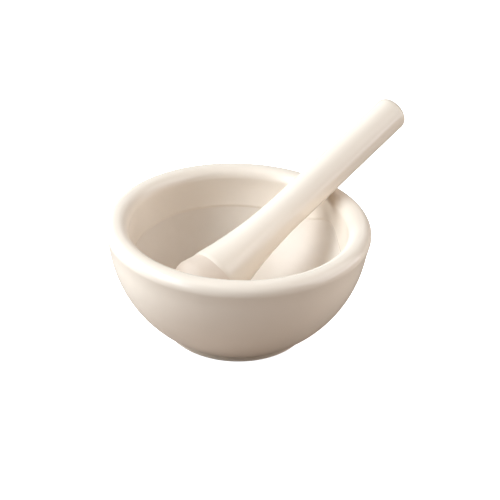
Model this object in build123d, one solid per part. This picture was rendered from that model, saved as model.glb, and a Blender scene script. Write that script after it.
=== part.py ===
"""Porcelain laboratory mortar and pestle.

The mortar is a thick round bowl with a rolled lip and a turned foot. The pestle lies in it: its head
rests on the bowl at the front left and its handle leans on the lip at the back right. Both are
porcelain with a clear glaze fired onto them, which stops at a line: the grinding face of the bowl, the
head of the pestle and the underside of the foot are bare.

Frame, in millimetres: +Z up, origin on the mortar's axis in the plane that its foot stands on.
Sections are drawn on one side of their axis, x outwards and y along it, and then turned about it.
"""

from build123d import *

import os
from math import atan2, cos, degrees, hypot, radians, sin, sqrt, tan

# Glaze
GLAZE = 0.3  # thickness of the coat
MORTAR_GLAZE_LINE = 30.5  # height inside the bowl where the coat stops
FOOT_GLAZE_LINE = 0.8  # height on the foot's side where the coat stops
PESTLE_GLAZE_LINE = 17.3  # distance from the end of the head where the coat stops

# Mortar, over the glaze
RIM_DIAMETER = 100.0
MORTAR_HEIGHT = 46.0
LIP_INNER_RADIUS = 4.35  # the lip's round section on the side of the bowl's mouth
LIP_LAND = 0.85  # flat top of the lip
LIP_OUTER_RADIUS = 3.5  # the lip's round section on its outside
BOWL_RADIUS = 49.2  # outside of the bowl, a sphere
BOWL_CENTRE = 42.6  # height of that sphere's centre
UNDER_LIP_FILLET = 60.0  # the long hollow curve from the lip to the bowl
FLOOR_HEIGHT = 6.8  # lowest point of the bowl's inside
FLOOR_RADIUS = 45.7  # curvature of the floor of the bowl
FOOT_DIAMETER = 56.0
FOOT_FILLET = 3.0  # where the foot's side runs into the bowl
FOOT_CHAMFER = 0.5
RECESS_DIAMETER = 42.0  # hollow under the foot, which leaves a ring to stand on
RECESS_DEPTH = 1.4

# Pestle, over the glaze
PESTLE_LENGTH = 120.7
HEAD_DIAMETER = 26.3
HEAD_DEPTH = 10.6  # from the widest circle of the head to its end
FACE_RADIUS = 16.0  # curvature of the end of the head
SHOULDER_RADIUS = 6.0  # from the widest circle back towards the handle
FLARE_ANGLE = 14.6  # steepest slope of the flare, degrees from the pestle's axis
FLARE_RADIUS = 180.0  # the long hollow curve from the shoulder to the handle
HANDLE_TAPER = 0.24  # degrees, thinner towards the tip
TIP_CROWN_RADIUS = 30.0
TIP_EDGE_RADIUS = 3.4

# How the pestle lies in the mortar
PESTLE_HEADING = 42.6  # degrees from +X towards +Y, the way the handle points
PESTLE_LEAN = 24.5  # degrees that the handle rises above level
HEAD_CENTRE = (-12.5, -16.0, 24.56)  # centre of the head's widest circle

LIP_LEVEL = MORTAR_HEIGHT - LIP_INNER_RADIUS
LIP_OUTER_CENTRE = (RIM_DIAMETER / 2 - LIP_OUTER_RADIUS, MORTAR_HEIGHT - LIP_OUTER_RADIUS)
LIP_INNER_CENTRE = (LIP_OUTER_CENTRE[0] - LIP_LAND, LIP_LEVEL)
MOUTH_RADIUS = LIP_INNER_CENTRE[0] - LIP_INNER_RADIUS


def arc(centre, radius, start, end):
    """An arc of a circle between two angles in degrees."""
    return CenterArc(centre, radius, start, end - start)


def on_circle(centre, radius, angle):
    """The point of a circle at an angle in degrees."""
    return centre[0] + radius * cos(radians(angle)), centre[1] + radius * sin(radians(angle))


def oval_end(half_width, depth, end_radius, lowest, grow):
    """The rounded end of an oval, drawn from its lowest point on the axis up to its widest, where it
    stands upright. Its side arc runs smoothly into its end arc. grow moves the curve outwards."""
    rise = end_radius - depth
    side_radius = (end_radius**2 - half_width**2 - rise**2) / (2 * (end_radius - half_width))
    side_centre = (half_width - side_radius, lowest + depth)
    end_centre = (0, lowest + end_radius)
    joint = degrees(atan2(side_centre[1] - end_centre[1], side_centre[0]))
    arc(end_centre, end_radius + grow, -90, joint)
    arc(side_centre, side_radius + grow, joint, 0)


def round_corner(section, corner, radius):
    """The section with the corner nearest to a point rounded."""
    return fillet(section.vertices().sort_by_distance((*corner, 0))[0], radius)


def band(height):
    """Everything below a height, for trimming a section."""
    return Pos(0, height / 2) * Rectangle(2 * RIM_DIAMETER, height)


def turned(section):
    """The solid that a section makes when it is turned about the Z axis."""
    return revolve(Plane.XZ * section, Axis.Z)


def under_lip_point(lip, bowl):
    """Where the lip's outer round crosses the outside of the bowl, below the lip."""
    across, up = LIP_OUTER_CENTRE[0], LIP_OUTER_CENTRE[1] - BOWL_CENTRE
    span = hypot(across, up)
    along = (span**2 + bowl**2 - lip**2) / (2 * span)
    aside = sqrt(bowl**2 - along**2)
    return (along * across + aside * up) / span, BOWL_CENTRE + (along * up - aside * across) / span


def outside_section(inset):
    """The mortar as if its bowl were full to the lip's level, inset from the glazed surface. The
    plane that it stands on and the hollow under it stay where they are."""
    lip, bowl = LIP_OUTER_RADIUS - inset, BOWL_RADIUS - inset
    foot, recess = FOOT_DIAMETER / 2 - inset, RECESS_DIAMETER / 2
    bowl_centre = (0, BOWL_CENTRE)
    under_lip = under_lip_point(lip, bowl)
    foot_top = (foot, BOWL_CENTRE - sqrt(bowl**2 - foot**2))
    mouth, top = (MOUTH_RADIUS + inset, LIP_LEVEL), MORTAR_HEIGHT - inset
    lip_end = degrees(atan2(under_lip[1] - LIP_OUTER_CENTRE[1], under_lip[0] - LIP_OUTER_CENTRE[0]))
    bowl_start = degrees(atan2(under_lip[1] - BOWL_CENTRE, under_lip[0]))
    bowl_end = degrees(atan2(foot_top[1] - BOWL_CENTRE, foot))
    with BuildLine() as outline:
        Polyline((0, RECESS_DEPTH), (0, LIP_LEVEL), mouth)
        arc(LIP_INNER_CENTRE, LIP_INNER_RADIUS - inset, 180, 90)
        Line((LIP_INNER_CENTRE[0], top), (LIP_OUTER_CENTRE[0], top))
        arc(LIP_OUTER_CENTRE, lip, 90, lip_end)
        arc(bowl_centre, bowl, bowl_start, bowl_end)
        Polyline(foot_top, (foot, FOOT_CHAMFER), (foot - FOOT_CHAMFER, 0), (recess, 0))
        Polyline((recess, 0), (recess - RECESS_DEPTH, RECESS_DEPTH), (0, RECESS_DEPTH))
    section = make_face(outline.edges())
    section = round_corner(section, under_lip, UNDER_LIP_FILLET + inset)
    return round_corner(section, foot_top, FOOT_FILLET + inset)


def cavity_section(grow):
    """The hollow of the bowl up to the lip's level, with its surface moved outwards by grow."""
    with BuildLine() as outline:
        oval_end(MOUTH_RADIUS, LIP_LEVEL - FLOOR_HEIGHT, FLOOR_RADIUS, FLOOR_HEIGHT, grow)
        Polyline((MOUTH_RADIUS + grow, LIP_LEVEL), (0, LIP_LEVEL), (0, FLOOR_HEIGHT - grow))
    return make_face(outline.edges())


def mortar_nodes():
    """The bare porcelain of the mortar, and the glaze on it."""
    body = outside_section(GLAZE) - cavity_section(GLAZE)
    outer_coat = outside_section(0) - outside_section(GLAZE) - band(FOOT_GLAZE_LINE)
    inner_coat = cavity_section(GLAZE) - cavity_section(0) - band(MORTAR_GLAZE_LINE)
    return {"mortar_body": turned(body), "mortar_glaze": turned(outer_coat + inner_coat)}


def pestle_section(inset):
    """The pestle upright on its head, with the end of its head at height 0, inset from the glazed
    surface: head, shoulder, hollow flare, slightly tapered handle and crowned tip."""
    widest = HEAD_DIAMETER / 2
    shoulder_centre = (widest - SHOULDER_RADIUS, HEAD_DEPTH)
    shoulder_end = on_circle(shoulder_centre, SHOULDER_RADIUS, FLARE_ANGLE)
    flare_centre = on_circle(shoulder_end, FLARE_RADIUS, FLARE_ANGLE)
    root = on_circle(flare_centre, FLARE_RADIUS + inset, 180 + HANDLE_TAPER)
    crown_centre = (0, PESTLE_LENGTH - TIP_CROWN_RADIUS)
    edge = root[0] - tan(radians(HANDLE_TAPER)) * (PESTLE_LENGTH - root[1])
    crown = TIP_CROWN_RADIUS - inset
    corner = (edge, crown_centre[1] + sqrt(crown**2 - edge**2))
    crown_edge = degrees(atan2(corner[1] - crown_centre[1], edge))
    with BuildLine() as outline:
        oval_end(widest, HEAD_DEPTH, FACE_RADIUS, 0, -inset)
        arc(shoulder_centre, SHOULDER_RADIUS - inset, 0, FLARE_ANGLE)
        arc(flare_centre, FLARE_RADIUS + inset, 180 + FLARE_ANGLE, 180 + HANDLE_TAPER)
        Line(root, corner)
        arc(crown_centre, crown, crown_edge, 90)
        Line((0, PESTLE_LENGTH - inset), (0, inset))
    return round_corner(make_face(outline.edges()), corner, TIP_EDGE_RADIUS - inset)


def pestle_place():
    """The place of the upright pestle when it lies in the mortar."""
    level = cos(radians(PESTLE_LEAN))
    heading = radians(PESTLE_HEADING)
    up_handle = Vector(level * cos(heading), level * sin(heading), sin(radians(PESTLE_LEAN)))
    return Plane(origin=Vector(*HEAD_CENTRE) - up_handle * HEAD_DEPTH, z_dir=up_handle)


def pestle_nodes():
    """The bare porcelain of the pestle, and the glaze on it."""
    body = pestle_section(GLAZE)
    coat = pestle_section(0) - body - band(PESTLE_GLAZE_LINE)
    place = pestle_place()
    return {"pestle_body": place * turned(body), "pestle_glaze": place * turned(coat)}


os.makedirs("parts", exist_ok=True)
for name, shape in {**mortar_nodes(), **pestle_nodes()}.items():
    export_step(shape, f"parts/{name}.step")
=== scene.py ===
"""The looks of a porcelain mortar and pestle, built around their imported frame. Metres, +Z up.

Each porcelain body and each coat of glaze is turned about an axis from a profile of the glazed surface.
A profile's rows are x (out from the axis), y (along it) and the outward normal's x and y. The bare
porcelain lies one glaze thickness under the profile.
"""

from math import atan2, cos, degrees, hypot, pi, radians, sin, sqrt, tan

import bmesh
import bpy
import numpy as np
from mathutils import Matrix, Vector


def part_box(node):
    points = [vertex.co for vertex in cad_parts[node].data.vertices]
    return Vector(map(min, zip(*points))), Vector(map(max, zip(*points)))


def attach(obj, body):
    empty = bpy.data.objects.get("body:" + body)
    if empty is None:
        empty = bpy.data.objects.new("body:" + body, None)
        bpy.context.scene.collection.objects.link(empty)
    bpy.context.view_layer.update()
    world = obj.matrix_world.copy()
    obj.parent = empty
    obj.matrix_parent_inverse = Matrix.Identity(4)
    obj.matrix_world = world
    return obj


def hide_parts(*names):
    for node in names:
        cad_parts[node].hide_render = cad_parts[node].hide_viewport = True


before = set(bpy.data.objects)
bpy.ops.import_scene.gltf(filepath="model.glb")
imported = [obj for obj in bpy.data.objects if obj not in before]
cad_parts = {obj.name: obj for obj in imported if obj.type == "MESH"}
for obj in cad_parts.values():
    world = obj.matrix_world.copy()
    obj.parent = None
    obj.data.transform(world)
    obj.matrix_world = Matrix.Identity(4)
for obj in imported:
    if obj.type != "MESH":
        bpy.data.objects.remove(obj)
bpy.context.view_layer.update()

MM = 0.001
mortar_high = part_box("mortar_glaze")[1]

# Glaze: an even coat, with a fading edge and a roll of thicker glaze along it
GLAZE = 0.3 * MM
EDGE_FADE = 1.8 * MM
ROLL_PLACE = 1.2 * MM
ROLL_WIDTH = 0.7 * MM
EDGE_STEPS = np.array([0, 0.01, 0.04, 0.1, 0.18, 0.27, 0.4, 0.6, 0.8, 1, 1.2, 1.4, 1.6, 1.8, 2.1, 2.5]) * MM

# Glaze lines: where the coat stops, how far its edge wanders, how high its roll stands and how far from
# the edge the wander has died out. Inside the bowl the line rises to a high spot under the handle.
MORTAR_GLAZE_LINE = 30.5 * MM
LINE_WANDER = 0.3 * MM
LINE_ROLL = 0.12 * MM
LINE_SETTLED = 7 * MM
HIGH_SPOT = 4.5 * MM
HIGH_SPOT_AT = 30
HIGH_SPOT_WIDTH = 12
FOOT_GLAZE_LINE = 0.8 * MM
FOOT_WANDER = 0.15 * MM
FOOT_ROLL = 0.05 * MM
FOOT_SETTLED = 4 * MM
PESTLE_GLAZE_LINE = 17.3 * MM
PESTLE_WANDER = 0.3 * MM
PESTLE_ROLL = 0.02 * MM
PESTLE_SETTLED = 5 * MM

# Mortar, over the glaze
RIM_RADIUS = mortar_high.x
MORTAR_HEIGHT = mortar_high.z
LIP_INNER_RADIUS = 4.35 * MM
LIP_LAND = 0.85 * MM
LIP_OUTER_RADIUS = 3.5 * MM
BOWL_RADIUS = 49.2 * MM
BOWL_CENTRE = (0, 42.6 * MM)
UNDER_LIP_FILLET = 60 * MM
FLOOR_HEIGHT = 6.8 * MM
FLOOR_RADIUS = 45.7 * MM
FOOT_RADIUS = 28 * MM
FOOT_FILLET = 3 * MM
FOOT_CHAMFER = 0.5 * MM
RECESS_RADIUS = 21 * MM
RECESS_DEPTH = 1.4 * MM
RECESS_ROUND = 0.6 * MM
LIP_OUTER_CENTRE = (RIM_RADIUS - LIP_OUTER_RADIUS, MORTAR_HEIGHT - LIP_OUTER_RADIUS)
LIP_INNER_CENTRE = (LIP_OUTER_CENTRE[0] - LIP_LAND, MORTAR_HEIGHT - LIP_INNER_RADIUS)
MOUTH_RADIUS = LIP_INNER_CENTRE[0] - LIP_INNER_RADIUS

# Pestle, over the glaze, upright on the end of its head
PESTLE_LENGTH = 120.7 * MM
HEAD_RADIUS = 13.15 * MM
HEAD_DEPTH = 10.6 * MM
FACE_RADIUS = 16 * MM
SHOULDER_RADIUS = 6 * MM
FLARE_ANGLE = 14.6
FLARE_RADIUS = 180 * MM
HANDLE_TAPER = 0.24
TIP_CROWN_RADIUS = 30 * MM
TIP_EDGE_RADIUS = 3.4 * MM

# How the pestle lies in the mortar
PESTLE_HEADING = 42.6
PESTLE_LEAN = 24.5
HEAD_CENTRE = Vector((-12.5, -16.0, 24.56)) * MM

# Fineness of the turned meshes
STEPS_ROUND = 240
LONGEST_STEP = 1.3 * MM
WIDEST_TURN = 7.5

# Camera
CAMERA_LOOKS_AT = Vector((4.75, 0, 32.5)) * MM
CAMERA_ORBITS = Vector((0, 0, 40.96)) * MM
CAMERA_DISTANCE = 500 * MM
CAMERA_ELEVATION = 29.07
CAMERA_ROLL = 2.14
CAMERA_LENS = 95.36
CAMERA_SHIFT = (-0.001, 0.001)

# Studio: the floor that curves up into a wall, and the lights round the object
FLOOR_REACH = 1.6
WALL_BEND = 0.8
WALL_HEIGHT = 2.5
BEND_TURNS = np.radians(np.linspace(0, 90, 13))
FLOOR_GLOW = 1.0
FLOOR_ROUGHNESS = 0.9
STEPS_ROUND_FLOOR = 96
LIGHT_DISTANCE = 1.0

# Surfaces: the least and the greatest roughness, and the heights of the unevenness
GLAZE_ROUGHNESS = (0.2, 0.26)
RIPPLE_HEIGHT = 0.015 * MM
PEEL_HEIGHT = 0.003 * MM
BARE_ROUGHNESS = (0.5, 0.6)
TURNING_HEIGHT = 0.008 * MM
GRAIN_HEIGHT = 0.012 * MM
# How far the glaze colour goes towards its deeper cream: painted shade in the small hollow corners, and
# thicker glaze along the rolls.
POOLED_AND_SHADED_SHARE = 0.6
SPECK_SHARE = 0.7

# Colours of the surfaces
CREAM = (0.80, 0.70, 0.592)
CREAM_PALE = (0.82, 0.72, 0.612)
# A deeper cream: painted shade in the small hollow corners, and the tone of thicker glaze along the glaze
# lines' rolls.
CREAM_POOLED_AND_SHADED = (0.72, 0.64, 0.53)
BARE = (0.76, 0.668, 0.572)
BARE_DARK = (0.74, 0.648, 0.552)
# The head's bare porcelain has darker colours of its own than the bowl's.
HEAD = (0.70, 0.58, 0.475)
HEAD_DARK = (0.68, 0.56, 0.455)
SPECK = (0.42, 0.33, 0.25)
WHITE = (0.95, 0.95, 0.95)
TABLE = (0.37, 0.30, 0.25)

# Colours of the light
SKY = (0.75, 0.89, 1.0)
COOL = (0.88, 0.94, 1.0)
NEARLY_WHITE = (0.98, 0.99, 1.0)
WARM = (1.0, 0.95, 0.87)
AMBER = (1.0, 0.3, 0.1)


# ---------------------------------------------------------------- profiles


def arc(centre, radius, start, end, outward=1):
    """Rows of an arc between two angles in degrees. outward is -1 where the arc is hollow."""
    step = min(WIDEST_TURN, degrees(LONGEST_STEP / radius))
    count = max(3, round(abs(end - start) / step) + 1)
    angles = np.radians(np.linspace(start, end, count))
    spokes = np.stack([np.cos(angles), np.sin(angles)], 1)
    return np.hstack([np.array(centre) + radius * spokes, outward * spokes])


def line(start, end, outward=1):
    """Rows of a straight stretch. outward is 1 where the outside is on its right, -1 on its left."""
    along = np.array(end) - np.array(start)
    length = hypot(*along)
    shares = np.linspace(0, 1, max(2, round(length / LONGEST_STEP) + 1))[:, None]
    normal = outward * np.array([along[1], -along[0]]) / length
    return np.hstack([start + shares * along, np.repeat(normal[None], len(shares), 0)])


def joined(*stretches):
    """The stretches as one profile, without the points that they share."""
    rows = [stretches[0]]
    for stretch in stretches[1:]:
        shared = hypot(*(stretch[0, :2] - rows[-1][-1, :2])) < MM / 1000
        rows.append(stretch[1:] if shared else stretch)
    return np.vstack(rows)


def angle_to(centre, point):
    """The angle in degrees at which a point is seen from a centre."""
    return degrees(atan2(point[1] - centre[1], point[0] - centre[0]))


def oval_end(half_width, depth, end_radius):
    """The rounded end of an oval from its lowest point, at height 0 on the axis, up to its widest, where
    it stands upright: the two centres and radii, and the angle where the arcs meet."""
    rise = end_radius - depth
    side_radius = (end_radius**2 - half_width**2 - rise**2) / (2 * (end_radius - half_width))
    side_centre = (half_width - side_radius, depth)
    return side_centre, side_radius, angle_to((0, end_radius), side_centre)


def nestled(first, first_reach, second, second_reach):
    """The lower point at given distances from two centres, the first of them further out."""
    across, up = first[0] - second[0], first[1] - second[1]
    span = hypot(across, up)
    along = (span**2 + second_reach**2 - first_reach**2) / (2 * span)
    aside = sqrt(second_reach**2 - along**2)
    x = second[0] + (along * across + aside * up) / span
    return x, second[1] + (along * up - aside * across) / span


def mortar_profile():
    """From the middle of the bowl's floor up the wall, over the lip and down to the foot's edge."""
    depth = LIP_INNER_CENTRE[1] - FLOOR_HEIGHT
    side, side_radius, side_start = oval_end(MOUTH_RADIUS, depth, FLOOR_RADIUS)
    side = (side[0], side[1] + FLOOR_HEIGHT)
    floor = (0, FLOOR_HEIGHT + FLOOR_RADIUS)
    reach = BOWL_RADIUS + UNDER_LIP_FILLET
    crease = nestled(LIP_OUTER_CENTRE, LIP_OUTER_RADIUS + UNDER_LIP_FILLET, BOWL_CENTRE, reach)
    out = FOOT_RADIUS + FOOT_FILLET
    waist = (out, BOWL_CENTRE[1] - sqrt((BOWL_RADIUS + FOOT_FILLET) ** 2 - out**2))
    lip_end, crease_start = angle_to(LIP_OUTER_CENTRE, crease), angle_to(crease, LIP_OUTER_CENTRE)
    crease_end, bowl_start = angle_to(crease, BOWL_CENTRE), angle_to(BOWL_CENTRE, crease)
    bowl_end, waist_start = angle_to(BOWL_CENTRE, waist), angle_to(waist, BOWL_CENTRE)
    return joined(
        arc(floor, FLOOR_RADIUS, -90, side_start, -1),
        arc(side, side_radius, side_start, 0, -1),
        arc(LIP_INNER_CENTRE, LIP_INNER_RADIUS, 180, 90),
        line((LIP_INNER_CENTRE[0], MORTAR_HEIGHT), (LIP_OUTER_CENTRE[0], MORTAR_HEIGHT), -1),
        arc(LIP_OUTER_CENTRE, LIP_OUTER_RADIUS, 90, lip_end),
        arc(crease, UNDER_LIP_FILLET, crease_start, crease_end, -1),
        arc(BOWL_CENTRE, BOWL_RADIUS, bowl_start, bowl_end),
        arc(waist, FOOT_FILLET, waist_start, 180, -1),
        line((FOOT_RADIUS, waist[1]), (FOOT_RADIUS, FOOT_CHAMFER), -1),
    )


def foot_profile():
    """The bare underside: round edge, ring to stand on, and the hollow inside it."""
    edge = FOOT_RADIUS - GLAZE - FOOT_CHAMFER
    reach = RECESS_ROUND * tan(radians(22.5))
    ring = RECESS_RADIUS + reach
    hollow = RECESS_RADIUS - RECESS_DEPTH - reach
    return joined(
        arc((edge, FOOT_CHAMFER), FOOT_CHAMFER, 0, -90),
        arc((ring, RECESS_ROUND), RECESS_ROUND, -90, -135),
        arc((hollow, RECESS_DEPTH - RECESS_ROUND), RECESS_ROUND, 45, 90, -1),
        line((hollow, RECESS_DEPTH), (0, RECESS_DEPTH)),
    )


def pestle_profile():
    """From the end of the head, over its widest circle and up the flared handle to the tip."""
    side, side_radius, side_start = oval_end(HEAD_RADIUS, HEAD_DEPTH, FACE_RADIUS)
    shoulder = (HEAD_RADIUS - SHOULDER_RADIUS, HEAD_DEPTH)
    flare, taper = radians(FLARE_ANGLE), radians(HANDLE_TAPER)
    reach = SHOULDER_RADIUS + FLARE_RADIUS
    hollow = (shoulder[0] + reach * cos(flare), shoulder[1] + reach * sin(flare))
    root = (hollow[0] - FLARE_RADIUS * cos(taper), hollow[1] - FLARE_RADIUS * sin(taper))
    crown = (0, PESTLE_LENGTH - TIP_CROWN_RADIUS)
    from_side = root[0] * cos(taper) + (root[1] - crown[1]) * sin(taper) - TIP_EDGE_RADIUS
    onward = sqrt((TIP_CROWN_RADIUS - TIP_EDGE_RADIUS) ** 2 - from_side**2)
    edge_x = from_side * cos(taper) - onward * sin(taper)
    edge = (edge_x, crown[1] + from_side * sin(taper) + onward * cos(taper))
    side_end = (edge[0] + TIP_EDGE_RADIUS * cos(taper), edge[1] + TIP_EDGE_RADIUS * sin(taper))
    return joined(
        arc((0, FACE_RADIUS), FACE_RADIUS, -90, side_start),
        arc(side, side_radius, side_start, 0),
        arc(shoulder, SHOULDER_RADIUS, 0, FLARE_ANGLE),
        arc(hollow, FLARE_RADIUS, 180 + FLARE_ANGLE, 180 + HANDLE_TAPER, -1),
        line(root, side_end),
        arc(edge, TIP_EDGE_RADIUS, HANDLE_TAPER, angle_to(crown, edge)),
        arc(crown, TIP_CROWN_RADIUS, angle_to(crown, edge), 90),
    )


def distances(profile):
    """How far along a profile each of its rows lies."""
    steps = np.hypot(*np.diff(profile[:, :2], axis=0).T)
    return np.concatenate([[0], np.cumsum(steps)])


def under(rows, depth):
    """Points under a profile's surface, at one depth or each at its own."""
    return rows[:, :2] - np.reshape(depth, (-1, 1)) * rows[:, 2:]


def hollowness(profile):
    """How much painted shade each row takes for its hollowness: 1 in the small hollow corners, 0 on flat
    and round stretches.
    """
    turn = np.unwrap(np.arctan2(profile[:, 3], profile[:, 2]))
    bend = np.clip(np.gradient(turn, distances(profile)) * FOOT_FILLET, 0, 1)
    return np.convolve(np.pad(bend, 2, mode="edge"), np.full(5, 0.2), mode="valid")


# ---------------------------------------------------------------- turned meshes


def turned(name, section, loop, place=Matrix.Identity(4)):
    """A closed mesh turned about Z. section(angle) gives an outline's rows, x, y and how deep a colour the
    glaze takes there: thicker glaze along its rolls, and painted shade in hollow corners. The outline is a
    loop, or its first and last points lie on the axis."""
    angles = np.linspace(0, 2 * np.pi, STEPS_ROUND, endpoint=False)
    outlines = np.array([section(angle) for angle in angles])
    along = np.broadcast_to(distances(outlines[0]), outlines.shape[:2])
    x, y, pool_and_shade = np.moveaxis(outlines, 2, 0)
    around = angles[:, None]
    table = np.stack([x * np.cos(around), x * np.sin(around), y, along, pool_and_shade], 2)
    rings = table if loop else table[:, 1:-1]
    count = rings.shape[1]
    points = rings.reshape(-1, 5)
    faces = []
    for turn in range(STEPS_ROUND):
        here, there = turn * count, (turn + 1) % STEPS_ROUND * count
        for row in range(count if loop else count - 1):
            after = (row + 1) % count
            faces.append((here + row, there + row, there + after, here + after))
        if not loop:
            faces.append((len(points), there, here))
            faces.append((len(points) + 1, here + count - 1, there + count - 1))
    if not loop:
        points = np.vstack([points, table[0, 0], table[0, -1]])
    mesh = bpy.data.meshes.new(name)
    mesh.from_pydata(points[:, :3].tolist(), [], faces)
    for attribute, values in (("along", points[:, 3]), ("pool_and_shade", points[:, 4])):
        layer = mesh.attributes.new(attribute, "FLOAT", "POINT")
        layer.data.foreach_set("value", values.astype(np.float32))
    mesh.transform(place)
    face_outwards(mesh)
    mesh.shade_smooth()
    piece = bpy.data.objects.new(name, mesh)
    bpy.context.scene.collection.objects.link(piece)
    return piece


def face_outwards(mesh):
    """Turns the faces of a closed mesh to point out of it."""
    work = bmesh.new()
    work.from_mesh(mesh)
    bmesh.ops.recalc_face_normals(work, faces=work.faces)
    work.to_mesh(mesh)
    work.free()


def wander(angle, size, shift):
    """The slow rise and fall of a hand-dipped glaze line round the piece."""
    waves = ((2, 0.5), (3, 0.35), (5, 0.2), (9, 0.1))
    return size * sum(share * sin(count * (angle + shift)) for count, share in waves)


def high_spot(angle):
    """How much higher the glaze stops where the handle lies on the lip."""
    away = (degrees(angle) - HIGH_SPOT_AT + 180) % 360 - 180
    return HIGH_SPOT * np.exp(-((away / HIGH_SPOT_WIDTH) ** 2))


def thickness(distance, roll_height):
    """The coat's thickness at a distance from its edge: a fading edge, a roll, then the even coat."""
    short = np.clip(1 - distance / EDGE_FADE, 0, 1)
    roll = roll_height * np.exp(-(((distance - ROLL_PLACE) / ROLL_WIDTH) ** 2))
    return (GLAZE + roll) * (1 - short**2)


def from_edge(settled):
    """Distances from a coat's edge, close together over its roll, to where its wander has settled."""
    return np.concatenate([EDGE_STEPS, np.linspace(EDGE_STEPS[-1], settled, 5)[1:]])


def coat_sides(profile, stations, depth):
    """The outer and the inner side of a coat of given depth, at distances along its profile."""
    along = distances(profile)
    rows = np.stack([np.interp(stations, along, column) for column in profile.T], 1)
    # Painted shade in the small hollow corners, plus the deeper tone of the glaze where it thickens along
    # its rolls.
    pool_and_shade = np.interp(stations, along, hollowness(profile)) + np.clip(depth / GLAZE - 1, 0, 1)
    outer = np.column_stack([under(rows, GLAZE - depth), pool_and_shade])
    inner = np.column_stack([under(rows, GLAZE), pool_and_shade])
    return outer, inner


# ---------------------------------------------------------------- pieces


def finish_piece(piece, body, node, material):
    """Puts a piece in its place in the frame and gives it its material."""
    piece.data.materials.append(material)
    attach(piece, body)
    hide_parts(node)


def bare_body(name, profile, closing=None, place=Matrix.Identity(4)):
    """The porcelain under a profile's glaze, closed by the points of its bare end."""
    points = under(profile, GLAZE)
    if closing is not None:
        points = np.vstack([points, closing])
    points[[0, -1], 0] = 0
    outline = np.column_stack([points, np.zeros(len(points))])
    return turned(name, lambda angle: outline, False, place)


def mortar_coat(profile):
    """The mortar's glaze, from the line inside the bowl, over the lip, to the line on the foot."""
    along = distances(profile)
    crest = profile[:, 1].argmax()
    line_at = np.interp(MORTAR_GLAZE_LINE, profile[:crest, 1], along[:crest])
    foot_at = along[-1] + FOOT_CHAMFER - FOOT_GLAZE_LINE
    settled, foot_settled = line_at + LINE_SETTLED, foot_at - FOOT_SETTLED
    between = along[(along > settled + MM / 2) & (along < foot_settled - MM / 2)]

    def section(angle):
        start = line_at + wander(angle, LINE_WANDER, 0.6) + high_spot(angle)
        end = foot_at + wander(angle, FOOT_WANDER, 2.1)
        rising = start + from_edge(settled - start)
        falling = end - from_edge(end - foot_settled)[::-1]
        stations = np.concatenate([rising, between, falling])
        depth = np.minimum(
            thickness(stations - start, LINE_ROLL), thickness(end - stations, FOOT_ROLL)
        )
        outer, inner = coat_sides(profile, stations, depth)
        return np.vstack([outer, inner[::-1]])

    return turned("mortar_coat_of_glaze", section, True)


def pestle_coat(profile, place):
    """The pestle's glaze, from the line above its head to the middle of its tip."""
    along = distances(profile)
    line_at = np.interp(PESTLE_GLAZE_LINE, profile[:, 1], along)
    settled = line_at + PESTLE_SETTLED
    between = along[along > settled + MM / 2]

    def section(angle):
        start = line_at + wander(angle, PESTLE_WANDER, 1.3)
        stations = np.concatenate([start + from_edge(settled - start), between])
        outer, inner = coat_sides(profile, stations, thickness(stations - start, PESTLE_ROLL))
        rows = np.vstack([outer[::-1], inner])
        rows[[0, -1], 0] = 0
        return rows

    return turned("pestle_coat_of_glaze", section, False, place)


def pestle_place():
    """The place of the upright pestle when it lies in the mortar."""
    heading, lean = radians(PESTLE_HEADING), radians(PESTLE_LEAN)
    up_handle = Vector((cos(lean) * cos(heading), cos(lean) * sin(heading), sin(lean)))
    end_of_head = HEAD_CENTRE - up_handle * HEAD_DEPTH
    return Matrix.Translation(end_of_head) @ up_handle.to_track_quat("Z", "Y").to_matrix().to_4x4()


# ---------------------------------------------------------------- materials


def node(tree, kind, inputs=(), **options):
    """Adds a shader node. Its inputs take numbers, colours or other nodes' outputs."""
    made = tree.nodes.new("ShaderNode" + kind)
    for name, value in options.items():
        setattr(made, name, value)
    for socket, value in dict(inputs).items():
        if isinstance(value, bpy.types.NodeSocket):
            tree.links.new(value, made.inputs[socket])
        else:
            made.inputs[socket].default_value = value
    return made


def noise(tree, scale, detail=2.0, roughness=0.5):
    """Cloudy noise with features of about 1 / scale metres."""
    place = node(tree, "TexCoord").outputs["Object"]
    inputs = {"Vector": place, "Scale": scale, "Detail": detail, "Roughness": roughness}
    return node(tree, "TexNoise", inputs).outputs["Fac"]


def spread(tree, value, low, high, to_low=0.0, to_high=1.0):
    """Stretches a value's range, easing in and out of its ends."""
    inputs = {"Value": value, "From Min": low, "From Max": high, "To Min": to_low, "To Max": to_high}
    return node(tree, "MapRange", inputs, interpolation_type="SMOOTHSTEP").outputs["Result"]


def mixed(tree, share, first, second):
    """A colour between two others."""
    mix = node(tree, "Mix", data_type="RGBA")
    for socket, value in (("A", first), ("B", second)):
        target = next(s for s in mix.inputs if s.name == socket and s.type == "RGBA")
        if isinstance(value, bpy.types.NodeSocket):
            tree.links.new(value, target)
        else:
            target.default_value = (*value, 1)
    tree.links.new(share, mix.inputs["Factor"])
    return next(s for s in mix.outputs if s.type == "RGBA")


def bump(tree, height, distance, before=None):
    """Raises the surface by a height from 0 to 1 times a distance."""
    inputs = {"Height": height, "Distance": distance, "Strength": 1.0}
    if before is not None:
        inputs["Normal"] = before
    return node(tree, "Bump", inputs).outputs["Normal"]


def material(name, **constants):
    """A new material and its Principled shader, with the constants set on the shader's own sockets."""
    made = bpy.data.materials.new(name)
    made.use_nodes = True
    surface = made.node_tree.nodes["Principled BSDF"]
    for socket, value in constants.items():
        surface.inputs[socket.replace("_", " ")].default_value = value
    return made, made.node_tree, surface


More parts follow.
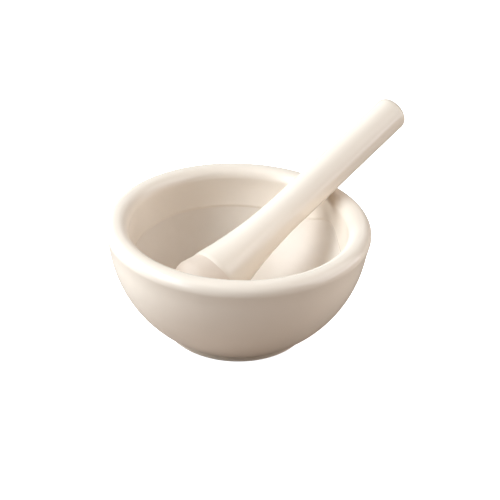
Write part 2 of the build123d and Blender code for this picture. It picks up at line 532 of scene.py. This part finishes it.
def glazed_porcelain():
    """Clear glossy glaze over cream porcelain: faint clouds of tone, deeper where the coat thickens along
    its rolls and, as painted shade, in the small hollow corners, and the slight ripple of a fired coat."""
    made, tree, surface = material("glazed_porcelain", IOR=1.5)
    clouds = spread(tree, noise(tree, 40, 2), 0.2, 0.8)
    colour = mixed(tree, clouds, CREAM, CREAM_PALE)
    # Painted shade: the colour deepens in the small hollow corners, as well as where the glaze really
    # thickens along its rolls.
    pooled_and_shaded = node(tree, "Attribute", attribute_name="pool_and_shade").outputs["Fac"]
    colour = mixed(tree, spread(tree, pooled_and_shaded, 0, 1, 0, POOLED_AND_SHADED_SHARE), colour, CREAM_POOLED_AND_SHADED)
    gloss = spread(tree, noise(tree, 45, 2), 0.2, 0.8, *GLAZE_ROUGHNESS)
    ripple = bump(tree, noise(tree, 60, 1), RIPPLE_HEIGHT)
    peel = bump(tree, noise(tree, 330, 1), PEEL_HEIGHT, ripple)
    tree.links.new(colour, surface.inputs["Base Color"])
    tree.links.new(gloss, surface.inputs["Roughness"])
    tree.links.new(peel, surface.inputs["Normal"])
    return made


def bare_porcelain(name, dark, pale):
    """Unglazed porcelain: matt and slightly darker, with fine grain, faint turning marks, soft mottling
    between two colours and a few tiny iron specks."""
    made, tree, surface = material(name, IOR=1.5)
    mottling = spread(tree, noise(tree, 110, 5, 0.6), 0.3, 0.7)
    colour = mixed(tree, mottling, dark, pale)
    grain = noise(tree, 2600, 3)
    place = node(tree, "TexCoord").outputs["Object"]
    cells = node(tree, "TexVoronoi", {"Vector": place, "Scale": 330})
    near = spread(tree, cells.outputs["Distance"], 0.05, 0.09, 1, 0)
    tint = node(tree, "SeparateColor", {"Color": cells.outputs["Color"]}).outputs["Red"]
    chosen = spread(tree, tint, 0.96, 0.97, 0, SPECK_SHARE)
    speck = node(tree, "Math", {0: near, 1: chosen}, operation="MULTIPLY").outputs["Value"]
    colour = mixed(tree, speck, colour, SPECK)
    along = node(tree, "Attribute", attribute_name="along").outputs["Fac"]
    inputs = {"W": along, "Scale": 1100, "Detail": 3}
    marks = node(tree, "TexNoise", inputs, noise_dimensions="1D").outputs["Fac"]
    turning = bump(tree, marks, TURNING_HEIGHT)
    grained = bump(tree, grain, GRAIN_HEIGHT, turning)
    tree.links.new(colour, surface.inputs["Base Color"])
    tree.links.new(spread(tree, grain, 0.3, 0.7, *BARE_ROUGHNESS), surface.inputs["Roughness"])
    tree.links.new(grained, surface.inputs["Normal"])
    return made


def matt(name, colour, glow):
    """A plain matt colour with the faintest unevenness and an even glow, for the floor and table."""
    made, tree, surface = material(name, Roughness=FLOOR_ROUGHNESS, Emission_Strength=glow)
    surface.inputs["Emission Color"].default_value = (*colour, 1)
    darker = tuple(0.99 * c for c in colour)
    tree.links.new(mixed(tree, noise(tree, 8), darker, colour), surface.inputs["Base Color"])
    return made


# ---------------------------------------------------------------- stage


def studio_floor(name, height, colour):
    """A level floor that curves up into a wall all round and glows, seen by the camera only: it isn't
    part of the object, and it sends no light to it."""
    bend = [(FLOOR_REACH + WALL_BEND * sin(a), WALL_BEND * (1 - cos(a))) for a in BEND_TURNS]
    outline = [(0, 0), *bend, (FLOOR_REACH + WALL_BEND, WALL_HEIGHT)]
    work = bmesh.new()
    points = [work.verts.new((x, 0, y + height)) for x, y in outline]
    edges = [work.edges.new(pair) for pair in zip(points, points[1:])]
    bmesh.ops.spin(work, geom=points + edges, axis=(0, 0, 1), steps=STEPS_ROUND_FLOOR, angle=2 * pi)
    bmesh.ops.remove_doubles(work, verts=work.verts, dist=MM)
    mesh = bpy.data.meshes.new(name)
    work.to_mesh(mesh)
    work.free()
    mesh.shade_smooth()
    mesh.materials.append(matt(name, colour, FLOOR_GLOW))
    made = bpy.data.objects.new(name, mesh)
    made.visible_diffuse = False
    made.visible_glossy = False
    made.visible_shadow = False
    bpy.context.scene.collection.objects.link(made)


def table(name, height, colour):
    """The table top that throws a little warm light back up at the object. The camera sees the studio
    floor in its place."""
    mesh = bpy.data.meshes.new(name)
    half = FLOOR_REACH
    corners = [(-half, -half, height), (half, -half, height), (half, half, height), (-half, half, height)]
    mesh.from_pydata(corners, [], [(0, 1, 2, 3)])
    mesh.materials.append(matt(name, colour, 0))
    made = bpy.data.objects.new(name, mesh)
    made.visible_camera = False
    bpy.context.scene.collection.objects.link(made)


def softbox(name, azimuth, elevation, size, power, colour):
    """A rectangular soft light, aimed at the middle of the mortar from an azimuth round Z, +X being 0."""
    light = bpy.data.lights.new(name, "AREA")
    light.shape = "RECTANGLE"
    light.size, light.size_y = size
    light.energy = power
    light.color = colour
    made = bpy.data.objects.new(name, light)
    a, e = radians(azimuth), radians(elevation)
    away = Vector((cos(e) * cos(a), cos(e) * sin(a), sin(e)))
    made.location = Vector((0, 0, MORTAR_HEIGHT / 2)) + away * LIGHT_DISTANCE
    made.rotation_mode = "QUATERNION"
    made.rotation_quaternion = away.to_track_quat("Z", "Y")
    bpy.context.scene.collection.objects.link(made)
    return made


def surroundings(strength, colour):
    """Even, weak light from all round."""
    world = bpy.data.worlds.new("studio")
    world.use_nodes = True
    back = world.node_tree.nodes["Background"]
    back.inputs["Color"].default_value = (*colour, 1)
    back.inputs["Strength"].default_value = strength
    bpy.context.scene.world = world


def camera():
    """The camera, at the photographed angle."""
    data = bpy.data.cameras.new("camera")
    data.lens = CAMERA_LENS
    data.shift_x, data.shift_y = CAMERA_SHIFT
    made = bpy.data.objects.new("camera", data)
    bpy.context.scene.collection.objects.link(made)
    elevation = radians(CAMERA_ELEVATION)
    back = Vector((0, -cos(elevation), sin(elevation)))
    made.location = CAMERA_ORBITS + back * CAMERA_DISTANCE
    aim = (CAMERA_LOOKS_AT - made.location).to_track_quat("-Z", "Y")
    made.rotation_mode = "QUATERNION"
    made.rotation_quaternion = aim @ Matrix.Rotation(radians(CAMERA_ROLL), 4, "Z").to_quaternion()
    bpy.context.scene.camera = made


# ---------------------------------------------------------------- the scene

glazed = glazed_porcelain()
bowl_bare = bare_porcelain("bare_porcelain", BARE_DARK, BARE)
head_bare = bare_porcelain("bare_porcelain_of_the_head", HEAD_DARK, HEAD)
mortar, pestle, place = mortar_profile(), pestle_profile(), pestle_place()
mortar_body = bare_body("mortar_porcelain", mortar, foot_profile()[:, :2])
pestle_body = bare_body("pestle_porcelain", pestle, place=place)
finish_piece(mortar_body, "mortar", "mortar_body", bowl_bare)
finish_piece(pestle_body, "pestle", "pestle_body", head_bare)
finish_piece(mortar_coat(mortar), "mortar", "mortar_glaze", glazed)
finish_piece(pestle_coat(pestle, place), "pestle", "pestle_glaze", glazed)

studio_floor("floor", -0.02 * MM, WHITE)
table("table", -0.03 * MM, TABLE)
softbox("key", 197, 46, (0.32, 0.32), 4.03, SKY)
softbox("left", 175, 40, (0.4, 0.4), 6.7, COOL)
softbox("back_left", 150, 12, (0.4, 0.35), 9.0, SKY)
softbox("front_left", 215, 22, (0.5, 0.5), 4.52, COOL)
softbox("overhead", 200, 72, (0.5, 0.5), 1.26, WARM)
softbox("right", 0, 38, (1.0, 0.5), 4.84, NEARLY_WHITE)
softbox("right_low", 0, 10, (1.0, 0.3), 4.36, NEARLY_WHITE)
surroundings(0.03, AMBER)
camera()
bpy.context.scene.view_settings.view_transform = "Standard"
